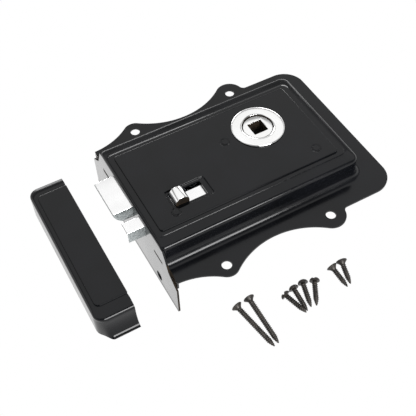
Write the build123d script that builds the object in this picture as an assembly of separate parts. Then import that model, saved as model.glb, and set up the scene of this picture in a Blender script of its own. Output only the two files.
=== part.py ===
from build123d import *
import math
import os

# Rim latch with a privacy bolt, its box keep and its fixing screws, in millimetres.
# Origin: the spindle axis at the face of the door. +Z points out of the door, +Y up the door,
# and the forend (the edge plate that the bolts pass through) is on the -X side.

# Sheet and clearances
sheet = 1.0                 # cover and keep are pressed from one gauge of steel
back_sheet = 1.2            # back plate
running_gap = 0.08          # shaft in a bearing hole, on the radius
pin_gap = 0.02              # riveted pin in its hole, on the radius
slide_gap = 0.35            # bolt or slide in its window, each side
seam_gap = 0.25             # open seam between the folded forend and the side walls
overcut = 1.0               # how far a cut runs past the face it opens

# Case plan: lengths from the forend face, widths from the case's centre line
backset = 80.0              # forend face to the spindle axis
spindle_rise = 8.0          # spindle axis above the case's centre line
case_length = 115.2         # forend face to the outer fold at the closed end
case_width = 72.6           # across the two outer folds
slope_side = 6.8            # outer fold to the ledge, long sides
slope_end = 4.7             # the same at the closed end
slope_forend = 1.6          # the same at the forend fold
ledge_side = 2.3            # ledge beside the raised panel, long sides
ledge_end = 3.3             # the same at the closed end
ledge_forend = 2.7          # the same at the forend
wall_spread = 0.6           # how far the case wall leans out from its fold to its foot

# Heights of the pressing above the door, shared by the case and the keep
panel_height = 15.6
ledge_height = 14.7
fold_height = 13.6

# Radii of the pressing
corner_radius = 5.0         # wall corners at the closed end
ledge_corner = 3.2
panel_corner = 1.6
fold_radius = 1.3           # outer fold
foot_radius = 3.8           # wall into flange
panel_edge = 0.35

# Scroll flange
flange_end = 14.8           # outer fold at the closed end to the far edge
ear_spacing_x = 61.0
ear_spacing_y = 102.5
ear_start = 26.8            # forend face to the first pair of holes
fixing_hole = 2.6           # radius of the four fixing holes
small_ear = 6.6
large_ear = 8.0
waist_radius = 42.0         # hollow between the two ears
shoulder_radius = 3.0       # hollow behind the large ear
tail_half = 50.8            # half width behind the large ears
tail_corner = 12.2
horn_half = 48.6            # half width of the flange at the forend

# Forend: the end of the cover folded down and carried on below the flange as a lip
lip_depth = 24.3
lip_half = 50.2
lip_shoulder = 4.8          # how far below the flange the lip reaches its full width
lip_corner = 1.5
neck_half = 41.3            # half width of the forend at the flange
neck_taper = 1.6            # how far the forend narrows over the foot radius
lip_hole = 2.2
lip_hole_mouth = 2.9
lip_hole_sink = 0.6
lip_hole_spacing = 57.8
lip_hole_depth = 18.2       # hole centre below the flange
relief_radius = 0.9         # round end of the seam at the fold

# Rose and follower
rose_radius = 14.3
rose_rise = 1.2
rose_bore = 8.3
rose_spigot = 9.9
rose_roll = 1.0             # rolled inner edge
rose_edge = 0.7             # height of the outer edge
rose_fall = 1.6             # width of the sloped outer border
rose_spread = 0.6           # spigot spread under the cover
rose_lip = 0.8
hub_radius = 8.0
hub_height = 15.8
socket = 8.25               # square hole for an 8 mm spindle
journal_radius = 6.5
horn_reach = 16.0           # axis to the centre of the horn's round tip
horn_width = 5.0
horn_thickness = 4.2
horn_height = 5.3           # underside of the horns

# Latch bolt
latch_half = 11.55
latch_low = 2.9
latch_high = 11.15
latch_throw = 11.0
latch_body = 13.0           # length behind the forend face
latch_step = 7.0            # rear step that the tail lies in
bevel_run = 4.8             # how far back the sloped face reaches at its foot
bevel_bulge = 0.8
bolt_edge = 0.3             # chamfer at the nose of the latch and on the hub
tail_sheet = 1.5
tail_low = 3.2
tail_neck = 6.0             # half width
fork_half = 19.0
fork_front = 22.0           # spindle axis to the front of the fork
fork_rim = 3.5              # web behind the hub slot
fork_corner = 3.0
lug_gap = 0.35              # horn to lug at rest
lug_sheet = 1.5
lug_inner = 11.0
lug_outer = 18.0
lug_height = 9.8
rod_radius = 1.4
rod_height = 8.2
rod_seat = 5.0              # rod held in the latch head
rod_tip = 5.0               # rod beyond the face of its guide
tail_rivet = 1.2
tail_rivet_head = 2.2
tail_rivet_spread = 4.0
rivet_head = 0.8            # height of a rivet's low head
rivet_grip = 3.0            # rivet's length in the piece it holds

# Latch guide and return spring
guide_back = 37.0           # forend face to the face that the spring bears on
guide_sheet = 1.5
foot_step = 0.3             # how much thinner the foot of a guide is
foot_inset = 3.0            # rivet from the end of the foot
guide_half = 9.0
guide_top = 12.0
guide_foot = 6.0
foot_rivet = 1.3
spring_radius = 2.6         # to the middle of the wire
spring_wire = 0.6
spring_turns = 8
steps_per_turn = 12         # straight lengths that one coil is drawn with
wire_sides = 6
spring_clearance = 0.1

# Privacy bolt, its slide and button
snib_drop = 14.05           # case's centre line to the middle of the bolt
snib_width = 6.9
snib_edge = 0.4
snib_low = 3.0
snib_high = latch_high
snib_throw = 9.6
snib_body = 14.0            # length behind the forend face
slide_ledge = 0.6           # slide beyond the far face of the bolt
slide_sheet = 1.95
slide_front = 4.0           # forend face to the front of the slide
slide_length = 50.0
slide_rivet = 1.0
slide_rivet_inset = 2.0
button_back = 21.6          # forend face to the middle of the button
button_width = 7.8
button_depth = 7.8
button_step = 0.4           # near face of the bolt to that of the button
button_straight = 2.5       # flat sides above the slide before the round top
button_pin = 1.2
button_pin_head = 2.2
slot_gap = 0.4              # button to each end of its slot
slot_gap_near = 0.3
slot_gap_far = 1.1
recess_depth = 0.8
recess_front = 1.5          # slot to the edge of the sunk frame, on each side
recess_back = 3.1
recess_near = 2.2
recess_far = 1.6
recess_corner = 1.6

# Snib guide and detent
snib_guide_back = 42.5      # forend face to the face of the guide
snib_guide_near = 3.0       # guide beyond the near face of the slide
snib_guide_far = 2.5        # and beyond the far face
snib_guide_foot = 5.0
post_back = 34.0            # forend face to the stud
post_offset = 6.0           # far face of the slide to the stud
post_radius = 1.8
post_tenon = 1.2
post_rise = 0.2             # stud above the slide
leaf_sheet = 0.5
leaf_width = 1.8
leaf_tail = 1.0             # leaf beyond the stud
leaf_straight = 6.0         # stud to the first bend
notch_back = 50.0           # forend face to the detent nose
notch_depth = 1.3
nose_run = 2.5              # nose to the bend on either side

# Pillars that hold the back plate to the cover
pillar_front = 20.5         # middle pillar, forend side of the spindle axis
pillar_drop = 0.5           # middle pillar below the spindle axis
pillar_end = 16.8           # far pillar from the closed end
pillar_wall = 16.4          # far pillar from the near wall
corner_pillar_back = 16.0   # third pillar from the forend face
corner_pillar_gap = 1.0     # third pillar clear of the snib slide
pillar_radius = 2.2
peened_radius = 1.7
peened_rise = 0.15
plate_screw = 1.1
plate_screw_head = 2.0
plate_screw_length = 6.0
plate_screw_slot = 0.5
plate_screw_slot_depth = 0.4

# Back plate
back_inset = 0.9            # edge of the back plate inside the walls
tab_inner = 26.0            # tabs that pass through the forend
tab_outer = 34.8
tab_gap = 0.1               # tab in its hole, and hub above the door

# Keep: a shallow box pressed like the case, open toward the lock
keep_gap = 24.2             # forend face to the mouth of the keep
keep_length = 18.6          # mouth to the closed side
keep_width = 87.1           # across the outer folds
keep_drop = 21.75           # spindle axis to the keep's centre line
keep_slope_side = 5.2
keep_slope_end = 1.4
keep_ledge_side = 2.3
keep_ledge_end = 1.6
keep_corner = 6.5
keep_ledge_corner = 4.6
keep_panel_corner = 3.2
keep_hole = 1.75
keep_hole_spacing = 50.0
keep_hole_height = 7.8

# Wood screws
screw_shank = 1.35          # over the thread
screw_head = 2.75
screw_head_height = 1.7
screw_head_rim = 0.3
round_head_height = 1.9
round_head_break = 0.32     # share of the dome's height above its shoulder
round_head_shoulder = 2.1
round_head_top = 1.0
screw_point = 4.0
screw_tip = 0.15
screw_sides = 12
long_screw = 26.0
case_screw = 14.0
short_screw = 12.4

# Heads of the screws where they lie, in one row in front of the lock
screw_row = 87.9            # spindle axis to the nearest head
long_screw_x = -61.3
long_screw_pitch = 7.1
case_screw_x = -39.0
case_screw_pitch = 5.93
short_screw_x = -10.7
short_screw_pitch = 5.9

# Places worked out from the values above
forend_x = -backset
centre_y = -spindle_rise
forend_back = forend_x + sheet
case_half = case_width / 2
wall_half = case_half + wall_spread
ceiling = panel_height - sheet
recess_floor = panel_height - recess_depth
latch_rear = forend_x + latch_body
lug_face = horn_width / 2 + lug_gap
tail_top = tail_low + tail_sheet
fork_start = -fork_front
guide_face = forend_x + guide_back
rod_end = guide_face + rod_tip
foot_top = back_sheet + guide_sheet - foot_step
snib_mid = centre_y - snib_drop
snib_near = snib_mid - snib_width / 2
snib_far = snib_mid + snib_width / 2
snib_rear = forend_x + snib_body
slide_low = snib_high
slide_high = slide_low + slide_sheet
slide_start = forend_x + slide_front
slide_end = slide_start + slide_length
slide_far = snib_far + slide_ledge
slide_mid = (snib_near + slide_far) / 2
button_x = forend_x + button_back
button_near = snib_near + button_step
button_far = button_near + button_depth
slot_start = button_x - button_width / 2 - slot_gap
slot_end = button_x + button_width / 2 + snib_throw + slot_gap
slot_near = button_near - slot_gap_near
slot_far = button_far + slot_gap_far
snib_guide_face = forend_x + snib_guide_back
post_x = forend_x + post_back
post_y = slide_far + post_offset
notch_x = forend_x + notch_back
near_fold = centre_y - case_half
pillar_places = [
    (-pillar_front, -pillar_drop),
    (forend_x + case_length - pillar_end, near_fold + pillar_wall),
    (forend_x + corner_pillar_back, snib_near - corner_pillar_gap - pillar_radius),
]
flange_length = case_length + flange_end
keep_mouth = forend_x - keep_gap
keep_half = keep_width / 2


def block(x0, x1, y0, y1, z0, z1):
    """Box given by its two limits along each axis."""
    centre = Pos((x0 + x1) / 2, (y0 + y1) / 2, (z0 + z1) / 2)
    return centre * Box(x1 - x0, y1 - y0, z1 - z0)


def upright(radius, x, y, z0, z1):
    """Cylinder along Z between two heights."""
    return Pos(x, y, (z0 + z1) / 2) * Cylinder(radius, z1 - z0)


def turned(*points):
    """Solid turned about the Z axis from a closed outline of (radius, height) points."""
    return revolve(make_face(Plane.XZ * Polyline(*points, close=True)), Axis.Z)


def face_in(plane, *pieces):
    """Face on a plane, bounded by lines and arcs that meet end to end."""
    return make_face(plane * (Curve() + list(pieces)))


def plan(start, end, half, radius, z):
    """Rectangle from start to end, of the given half width, with its far corners rounded."""
    outline = Rectangle(end - start, 2 * half)
    outline = fillet(outline.vertices().group_by(Axis.X)[-1], radius)
    return Pos((start + end) / 2, 0, z) * outline


def pressed_form(inset, start, length, half, slopes, ledges, corners, spread):
    """Stepped form under the outer skin (inset 0) or the inner skin (inset one sheet).

    It stands on z = 0 with its open or folded end at start. slopes and ledges give the
    bands at that end, along the sides and at the far end, corners the plan radii of the
    wall, the ledge and the panel, and spread how far the walls lean out at their foot.
    """
    slope_start, slope_sides, slope_far = slopes
    ledge_start, ledge_sides, ledge_far = ledges
    wall_r, ledge_r, panel_r = corners
    far = length - inset
    side = half - inset
    fold_z = fold_height - inset
    ledge_z = ledge_height - inset
    foot = plan(start, far + spread, side + spread, wall_r - inset, 0)
    fold = plan(start, far, side, wall_r - inset, fold_z)
    ledge_from = start + slope_start
    ledge = plan(ledge_from, far - slope_far, side - slope_sides, ledge_r - inset, ledge_z)
    walls = loft([foot, fold], ruled=True) if spread else extrude(foot, fold_z)
    slope = loft([fold, ledge], ruled=True)
    panel_from = ledge_from + ledge_start
    panel_far = far - slope_far - ledge_far
    panel_side = side - slope_sides - ledge_sides
    panel = plan(panel_from, panel_far, panel_side, panel_r - inset, fold_z - sheet)
    panel = extrude(panel, panel_height - inset - fold_z + sheet)
    return walls + slope + panel


def case_form(inset):
    """Case form in its own place, with its foot rounded out into the plane of the flange."""
    form = pressed_form(
        inset,
        inset,
        case_length,
        case_half,
        (slope_forend, slope_side, slope_end),
        (ledge_forend, ledge_side, ledge_end),
        (corner_radius, ledge_corner, panel_corner),
        wall_spread,
    )
    top = sheet - inset
    if inset:
        reach = neck_half + foot_radius
        base = block(inset, case_length + 3 * foot_radius, -reach, reach, -sheet, top)
    else:
        base = flange_plate()
    form = form + base
    reach_x = case_length + wall_spread + seam_gap
    reach_y = wall_half + seam_gap
    foot_edges = [
        edge
        for edge in level_edges(form, top)
        if abs(edge.center().Y) < reach_y and inset + seam_gap < edge.center().X < reach_x
    ]
    form = fillet(foot_edges, foot_radius + inset)
    return Pos(forend_x, centre_y) * form


def level_edges(solid, z):
    """Edges of a solid that lie in the plane at height z."""
    near = 0.01
    return solid.edges().filter_by_position(Axis.Z, z - near, z + near)


def flange_outline():
    """Upper half of the flange from the forend round to its far edge, in case coordinates."""
    ear_y = ear_spacing_y / 2
    ear_end = ear_start + ear_spacing_x
    small = Vector(ear_start, ear_y)
    large = Vector(ear_end, ear_y)
    drop = ear_y - horn_half
    sweep_radius = (ear_start**2 + drop**2 - small_ear**2) / (2 * (small_ear + drop))
    sweep = Vector(0, horn_half + sweep_radius)
    waist = touching_centre(small, small_ear + waist_radius, large, large_ear + waist_radius)
    rise = tail_half + shoulder_radius - ear_y
    run = math.sqrt((large_ear + shoulder_radius) ** 2 - rise**2)
    shoulder = Vector(ear_end + run, tail_half + shoulder_radius)
    a = small + (sweep - small).normalized() * small_ear
    b = small + (waist - small).normalized() * small_ear
    c = large + (waist - large).normalized() * large_ear
    d = large + (shoulder - large).normalized() * large_ear
    e = Vector(shoulder.X, tail_half)
    f = Vector(flange_length - tail_corner, tail_half)
    g = Vector(flange_length, tail_half - tail_corner)
    diagonal = math.sqrt(0.5)
    f_mid = Vector(f.X + tail_corner * diagonal, g.Y + tail_corner * diagonal)
    start = Vector(0, horn_half)
    return [
        Line((0, 0), start),
        ThreePointArc(start, arc_middle(sweep, start, a), a),
        ThreePointArc(a, small + Vector(0, small_ear), b),
        ThreePointArc(b, waist - Vector(0, waist_radius), c),
        ThreePointArc(c, large + Vector(0, large_ear), d),
        ThreePointArc(d, arc_middle(shoulder, d, e), e),
        Line(e, f),
        ThreePointArc(f, f_mid, g),
        Line(g, (flange_length, 0)),
        Line((flange_length, 0), (0, 0)),
    ]


def touching_centre(c1, r1, c2, r2):
    """Upper of the two points at distance r1 from c1 and r2 from c2 (centres level in Y)."""
    span = c2.X - c1.X
    along = (span**2 + r1**2 - r2**2) / (2 * span)
    return Vector(c1.X + along, c1.Y + math.sqrt(r1**2 - along**2))


def arc_middle(centre, p, q):
    """Point half way along the short arc from p to q about centre."""
    middle = (p + q) * 0.5 - centre
    return centre + middle.normalized() * (p - centre).length


def flange_plate():
    """Scroll flange as a flat plate in case coordinates."""
    half = extrude(make_face(Wire(flange_outline())), sheet, dir=(0, 0, 1))
    return half + mirror(half, Plane.XZ)


def forend_flap():
    """Forend plate from the fold down to the bottom of the lip, before its openings."""
    shoulder = fold_height - fold_radius
    side = [
        (case_half, shoulder),
        (neck_half - neck_taper, foot_radius + sheet),
        (neck_half, sheet),
        (lip_half, -lip_shoulder),
        (lip_half, -lip_depth),
    ]
    points = side + [(-y, z) for y, z in reversed(side)]
    face = make_face(Plane.YZ * Polyline(*points, close=True))
    flap = extrude(face, sheet, dir=(1, 0, 0))
    corners = flap.edges().filter_by(Axis.X).group_by(Axis.Z)[0]
    flap = fillet(corners, lip_corner)
    return Pos(forend_x, centre_y) * flap


def seam_cut():
    """Everything beside the folded forend that is cut away so that it can fold down."""
    top = fold_height - fold_radius
    inner = case_half - slope_forend
    cuts = []
    for side in (-1, 1):
        y0, y1 = sorted((centre_y + side * inner, centre_y + side * (horn_half + overcut)))
        cuts.append(block(forend_back, forend_back + seam_gap, y0, y1, -sheet, top))
        relief = Pos(forend_back, centre_y + side * case_half, top)
        cuts.append(relief * Rot(90, 0, 0) * Cylinder(relief_radius, 2 * (case_half - inner)))
    return cuts


def slotted_hole(x0, x1, y, radius, z0, z1):
    """Slot with round ends between two X limits."""
    centre = (x0 + x1) / 2
    face = Pos(centre, y, z0) * SlotOverall(x1 - x0, 2 * radius)
    return extrude(face, z1 - z0)


def case_cover():
    """One pressed sheet: stepped face, walls, scroll flange, and the forend folded down."""
    outer = case_form(0)
    rim = [edge for edge in level_edges(outer, fold_height) if edge.length > seam_gap]
    outer = fillet(rim, fold_radius)
    outer = chamfer(outer.faces().sort_by(Axis.Z)[-1].edges(), panel_edge)
    inner = case_form(sheet)
    inner -= recess_block(recess_floor - sheet, panel_height, sheet)
    cover = outer - inner
    cover -= beside_forend()
    cover += forend_flap()
    for cut in seam_cut():
        cover -= cut
    cover -= recess_block(recess_floor, panel_height + overcut, 0)
    cover -= block(slot_start, slot_end, slot_near, slot_far, recess_floor - 2 * sheet, panel_height)
    cover -= upright(rose_spigot + pin_gap, 0, 0, ceiling - overcut, panel_height + overcut)
    for x, y in pillar_places:
        cover -= Pos(x, y) * peened_tenon(pin_gap)
    cover -= bolt_window(-latch_half, latch_half, latch_low, latch_high, slide_gap)
    cover -= bolt_window(snib_near, snib_far, snib_low, snib_high, slide_gap)
    for side in (-1, 1):
        y0, y1 = sorted((centre_y + side * tab_inner, centre_y + side * tab_outer))
        cover -= bolt_window(y0, y1, 0, back_sheet, tab_gap)
        y = centre_y + side * lip_hole_spacing / 2
        cover -= Pos(forend_x, y, -lip_hole_depth) * Rot(0, 90, 0) * lip_hole_form()
        for x in (ear_start, ear_start + ear_spacing_x):
            y = centre_y + side * ear_spacing_y / 2
            cover -= upright(fixing_hole, forend_x + x, y, -overcut, sheet + overcut)
    return cover


def beside_forend():
    """Strip behind the forend face, outside the fold, where the sheet is cut off."""
    top = fold_height - fold_radius
    reach = horn_half + foot_radius
    start = forend_x - overcut
    strip = block(start, forend_back + seam_gap, centre_y - reach, centre_y + reach, -overcut, top)
    middle = block(start, forend_back + overcut, near_fold, near_fold + case_width, -overcut, top)
    return strip - middle


def bolt_window(y0, y1, z0, z1, gap):
    """Cut through the forend round a bolt or tab, grown by a gap."""
    end = forend_back + sheet / 2
    return block(forend_x - overcut, end, y0 - gap, y1 + gap, z0 - gap, z1 + gap)


def lip_hole_form():
    """Countersunk hole of the lip, along +Z from the forend face."""
    end = sheet + overcut
    return turned(
        (0, -overcut),
        (lip_hole_mouth, -overcut),
        (lip_hole_mouth, 0),
        (lip_hole, lip_hole_sink),
        (lip_hole, end),
        (0, end),
    )


def recess_block(z0, z1, margin):
    """Sunk frame round the button slot, grown by a margin."""
    x0 = slot_start - recess_front - margin
    x1 = slot_end + recess_back + margin
    y0 = slot_near - recess_near - margin
    y1 = slot_far + recess_far + margin
    frame = RectangleRounded(x1 - x0, y1 - y0, recess_corner + margin)
    return extrude(Pos((x0 + x1) / 2, (y0 + y1) / 2, z0) * frame, z1 - z0)


def back_plate():
    """Flat plate that closes the back, with two tabs through the forend."""
    end = case_length - sheet - back_inset
    half = case_half - sheet - back_inset
    start = sheet + tab_gap
    plate = extrude(plan(start, end, half, corner_radius - sheet, 0), back_sheet)
    for side in (-1, 1):
        y0, y1 = sorted((side * tab_inner, side * tab_outer))
        plate += block(tab_gap, start + overcut, y0, y1, 0, back_sheet)
    plate = Pos(forend_x, centre_y) * plate
    through = (-overcut, back_sheet + overcut)
    plate -= upright(journal_radius + running_gap, 0, 0, *through)
    plate -= upright(post_tenon + pin_gap, post_x, post_y, *through)
    for x, y in pillar_places:
        plate -= Pos(x, y) * plate_screw_form(pin_gap)
    for x, y in foot_rivet_places():
        plate -= upright(foot_rivet + pin_gap, x, y, *through)
    return plate


def peened_tenon(gap):
    """End of a pillar through the cover, peened to a low disc."""
    return upright(peened_radius + gap, 0, 0, ceiling - gap, panel_height + peened_rise + gap)


def plate_screw_form(gap):
    """Countersunk machine screw in the back plate, head flush with the door face."""
    return turned(
        (0, 0),
        (plate_screw_head + gap, 0),
        (plate_screw + gap, plate_screw_head - plate_screw),
        (plate_screw + gap, plate_screw_length + gap),
        (0, plate_screw_length + gap),
    )


def case_pillars():
    """Three turned pillars between the back plate and the cover."""
    pillar = upright(pillar_radius, 0, 0, back_sheet, ceiling) + peened_tenon(0)
    pillar -= plate_screw_form(pin_gap)
    sunk_frame = recess_block(recess_floor - sheet - pin_gap, ceiling, sheet + pin_gap)
    return Compound(children=[(Pos(x, y) * pillar - sunk_frame).solid() for x, y in pillar_places])


def back_plate_screws():
    """Three countersunk screws with a saw slot, from the door side into the pillars."""
    screw = plate_screw_form(0)
    half = plate_screw_slot / 2
    screw -= block(-pillar_radius, pillar_radius, -half, half, -overcut, plate_screw_slot_depth)
    return Compound(children=[Pos(x, y) * screw for x, y in pillar_places])


def rose():
    """Plated ring with a rolled inner edge, its spigot spread under the cover."""
    top = panel_height + rose_rise
    low = ceiling - rose_lip
    rolled = rose_bore + rose_roll
    spread = rose_spigot + rose_spread
    return turned(
        (rose_bore, top - rose_roll),
        (rose_bore, low),
        (spread, low),
        (spread, ceiling - pin_gap),
        (rose_spigot, ceiling - pin_gap),
        (rose_spigot, panel_height),
        (rose_radius, panel_height),
        (rose_radius, panel_height + rose_edge),
        (rose_radius - rose_fall, top),
        (rolled, top),
    )


def follower():
    """Hub with a square socket and two opposite horns, turning in the back plate."""
    hub = upright(journal_radius, 0, 0, tab_gap, horn_height)
    hub += upright(hub_radius, 0, 0, horn_height, hub_height)
    horns = Rot(0, 0, 90) * SlotCenterToCenter(2 * horn_reach, horn_width)
    hub += extrude(Pos(0, 0, horn_height) * horns, horn_thickness)
    hub = chamfer(hub.faces().sort_by(Axis.Z)[-1].edges(), bolt_edge)
    half = socket / 2
    return hub - block(-half, half, -half, half, -overcut, hub_height + overcut)


def latch_head():
    """Latch bolt with its sloped face toward the door stop side, stepped at the rear."""
    nose = forend_x - latch_throw
    step = latch_rear - latch_step
    foot = nose + bevel_run
    middle = (nose + bevel_run / 2 - bevel_bulge, (latch_low + latch_high) / 2 - bevel_bulge)
    body = Polyline(
        (nose, latch_high),
        (latch_rear, latch_high),
        (latch_rear, tail_top + pin_gap),
        (step, tail_top + pin_gap),
        (step, latch_low),
        (foot, latch_low),
    )
    bevel = ThreePointArc((foot, latch_low), middle, (nose, latch_high))
    head = extrude(face_in(Plane.XZ, body, bevel), latch_half, both=True)
    head = chamfer(head.edges().filter_by(Axis.Y).sort_by(Axis.X)[0], bolt_edge)
    head -= rod_form(pin_gap)
    for x, y in tail_rivet_places():
        head -= Pos(x, y) * tail_rivet_form(pin_gap)
    return head


def rod_form(gap):
    """Guide rod of the latch, along X."""
    start = latch_rear - rod_seat - gap
    length = rod_end - start
    return Pos(start + length / 2, 0, rod_height) * Rot(0, 90, 0) * Cylinder(rod_radius + gap, length)


def tail_rivet_places():
    """Two rivets side by side in the rear step of the latch head."""
    x = latch_rear - latch_step / 2
    return [(x, -tail_rivet_spread), (x, tail_rivet_spread)]


def tail_rivet_form(gap):
    """Rivet with a low head under the tail, up into the latch head."""
    head = tail_low - rivet_head
    top = tail_top + rivet_grip
    return turned(
        (0, head),
        (tail_rivet_head, head),
        (tail_rivet_head, tail_low),
        (tail_rivet + gap, tail_low),
        (tail_rivet + gap, top + gap),
        (0, top + gap),
    )


def tail_rivets():
    """The two rivets between the tail and the latch head."""
    return Compound(children=[Pos(x, y) * tail_rivet_form(0) for x, y in tail_rivet_places()])


def latch_tail():
    """Flat tail slotted over the middle pillar and the hub, with two upturned lugs."""
    pillar_x, pillar_y = pillar_places[0]
    pillar_slot = pillar_radius + slide_gap
    hub_slot = journal_radius + slide_gap
    slot_far_end = hub_slot + slide_gap
    fork_end = slot_far_end + fork_rim
    start = latch_rear - latch_step + pin_gap
    tail = block(start, fork_start + overcut, -tail_neck, tail_neck, tail_low, tail_top)
    fork = RectangleRounded(fork_end - fork_start, 2 * fork_half, fork_corner)
    tail += extrude(Pos((fork_start + fork_end) / 2, 0, tail_low) * fork, tail_sheet)
    low = tail_low - overcut
    high = tail_top + overcut
    pillar_slot_start = pillar_x - latch_throw - pillar_slot - slide_gap
    tail -= slotted_hole(pillar_slot_start, 0, pillar_y, pillar_slot, low, high)
    tail -= slotted_hole(-latch_throw - hub_slot - slide_gap, slot_far_end, 0, hub_slot, low, high)
    for side in (-1, 1):
        y0, y1 = sorted((side * lug_inner, side * lug_outer))
        tail += block(lug_face, lug_face + lug_sheet, y0, y1, tail_low, lug_height)
    for x, y in tail_rivet_places():
        tail -= upright(tail_rivet + pin_gap, x, y, low, high)
    return tail


def foot_rivet_places():
    """Rivets through the feet of the two guides."""
    latch_x = guide_face + guide_sheet + guide_foot / 2
    snib_x = snib_guide_face + guide_sheet + snib_guide_foot / 2
    reach = guide_half - foot_inset
    near = snib_near - snib_guide_near + foot_inset
    far = slide_far + snib_guide_far - foot_inset
    return [(latch_x, -reach), (latch_x, reach), (snib_x, near), (snib_x, far)]


def latch_guide():
    """Bracket with a window for the tail and a hole for the guide rod."""
    back = guide_face + guide_sheet
    guide = block(guide_face, back, -guide_half, guide_half, back_sheet, guide_top)
    guide += block(back, back + guide_foot, -guide_half, guide_half, back_sheet, foot_top)
    window = tail_neck + slide_gap
    guide -= block(guide_face - overcut, back + overcut, -window, window, foot_top, tail_top + slide_gap)
    bore = Cylinder(rod_radius + running_gap, 3 * guide_sheet)
    guide -= Pos(guide_face, 0, rod_height) * Rot(0, 90, 0) * bore
    for x, y in foot_rivet_places()[:2]:
        guide -= upright(foot_rivet + pin_gap, x, y, 0, foot_top + overcut)
    return guide


def guide_rivets():
    """Four flush rivets that hold the two guides to the back plate."""
    return Compound(children=[upright(foot_rivet, x, y, 0, foot_top) for x, y in foot_rivet_places()])


def latch_spring():
    """Compression spring on the guide rod, between the latch head and the guide."""
    start = latch_rear + spring_clearance + spring_wire / 2
    length = guide_face - spring_clearance - spring_wire / 2 - start
    steps = spring_turns * steps_per_turn
    points = []
    for i in range(steps + 1):
        turn = 2 * math.pi * i / steps_per_turn
        across = spring_radius * math.cos(turn)
        height = rod_height + spring_radius * math.sin(turn)
        points.append((start + length * i / steps, across, height))
    path = Polyline(*points)
    section = Plane(origin=path @ 0, z_dir=path % 0) * RegularPolygon(spring_wire / 2, wire_sides)
    return sweep(section, path, transition=Transition.RIGHT)


def privacy_bolt():
    """Small square bolt that the button throws."""
    nose = forend_x - snib_throw
    bolt = block(nose, snib_rear, snib_near, snib_far, snib_low, snib_high)
    bolt = chamfer(bolt.faces().sort_by(Axis.X)[0].edges(), snib_edge)
    for x in slide_rivet_places():
        bolt -= upright(slide_rivet + pin_gap, x, snib_mid, slide_low - rivet_grip, slide_low + overcut)
    return bolt


def slide_rivet_places():
    """X places of the two rivets from the slide into the bolt."""
    return [slide_start + slide_rivet_inset, snib_rear - slide_rivet_inset]


def snib_slide():
    """Strip under the face that carries the button, with two detent notches."""
    slide = block(slide_start, slide_end, snib_near, slide_far, slide_low, slide_high)
    through = (slide_low - overcut, slide_high + overcut)
    for x in slide_rivet_places():
        slide -= upright(slide_rivet + pin_gap, x, snib_mid, *through)
    slide -= upright(button_pin + pin_gap, button_x, slide_mid, *through)
    for x in (notch_x, notch_x - snib_throw):
        root = (x, slide_far - notch_depth)
        mouth = [(x - notch_depth, slide_far), (x + notch_depth, slide_far)]
        notch = make_face(Polyline(mouth[0], root, mouth[1], close=True))
        slide -= extrude(Pos(0, 0, through[0]) * notch, through[1] - through[0])
    return slide


def snib_rivets():
    """Two flush rivets that join the slide to the bolt."""
    low = slide_low - rivet_grip + pin_gap
    rivets = [upright(slide_rivet, x, snib_mid, low, slide_high) for x in slide_rivet_places()]
    return Compound(children=rivets)


def snib_button():
    """Half-round button that stands up through the slot."""
    side = button_width / 2
    shoulder = slide_high + button_straight
    sides = Polyline((-side, shoulder), (-side, slide_high), (side, slide_high), (side, shoulder))
    crown = ThreePointArc((side, shoulder), (0, shoulder + side), (-side, shoulder))
    button = extrude(face_in(Plane.XZ, sides, crown), button_depth / 2, both=True)
    button = Pos(button_x, button_near + button_depth / 2) * button
    return button - Pos(button_x, slide_mid) * button_rivet_form(pin_gap)


def button_rivet_form(gap):
    """Rivet from under the slide up into the button."""
    top = slide_high + rivet_grip
    return turned(
        (0, slide_low - rivet_head),
        (button_pin_head, slide_low - rivet_head),
        (button_pin_head, slide_low),
        (button_pin + gap, slide_low),
        (button_pin + gap, top + gap),
        (0, top + gap),
    )


def snib_guide():
    """Bracket with a window that carries the rear of the slide."""
    back = snib_guide_face + guide_sheet
    near = snib_near - snib_guide_near
    far = slide_far + snib_guide_far
    guide = block(snib_guide_face, back, near, far, back_sheet, ceiling - slide_gap)
    guide += block(back, back + snib_guide_foot, near, far, back_sheet, foot_top)
    sides = (snib_near - slide_gap, slide_far + slide_gap)
    heights = (slide_low - slide_gap, slide_high + slide_gap)
    guide -= block(snib_guide_face - overcut, back + overcut, *sides, *heights)
    for x, y in foot_rivet_places()[2:]:
        guide -= upright(foot_rivet + pin_gap, x, y, 0, foot_top + overcut)
    return guide


def detent_post():
    """Slotted stud, riveted in the back plate, that grips the leaf spring."""
    top = slide_high + post_rise
    post = upright(post_radius, post_x, post_y, back_sheet, top)
    post += upright(post_tenon, post_x, post_y, 0, back_sheet)
    slit = leaf_sheet / 2 + pin_gap
    x0 = post_x - post_radius - overcut
    x1 = post_x + post_radius + overcut
    return post - block(x0, x1, post_y - slit, post_y + slit, slide_low, top + overcut)


def detent_spring():
    """Leaf spring with a bent nose that drops into a notch of the slide."""
    start = (post_x - post_radius - leaf_tail, post_y)
    bend = (notch_x - nose_run, slide_far + 1.2 * notch_depth)
    nose = (notch_x, slide_far - notch_depth + 1.3 * leaf_sheet)
    end = (notch_x + nose_run, slide_far + 1.7 * notch_depth)
    route = [Polyline(start, (post_x + leaf_straight, post_y), bend), Polyline(bend, nose, end)]
    leaf = trace(route, leaf_sheet)
    return extrude(Pos(0, 0, slide_low + pin_gap) * leaf, leaf_width)


def keep_form(inset):
    """Form of the keep under its outer or inner skin, carried on past its open mouth at x = 0."""
    return pressed_form(
        inset,
        -keep_length,
        keep_length,
        keep_half,
        (keep_slope_end, keep_slope_side, keep_slope_end),
        (keep_ledge_end, keep_ledge_side, keep_ledge_end),
        (keep_corner, keep_ledge_corner, keep_panel_corner),
        0,
    )


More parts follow.
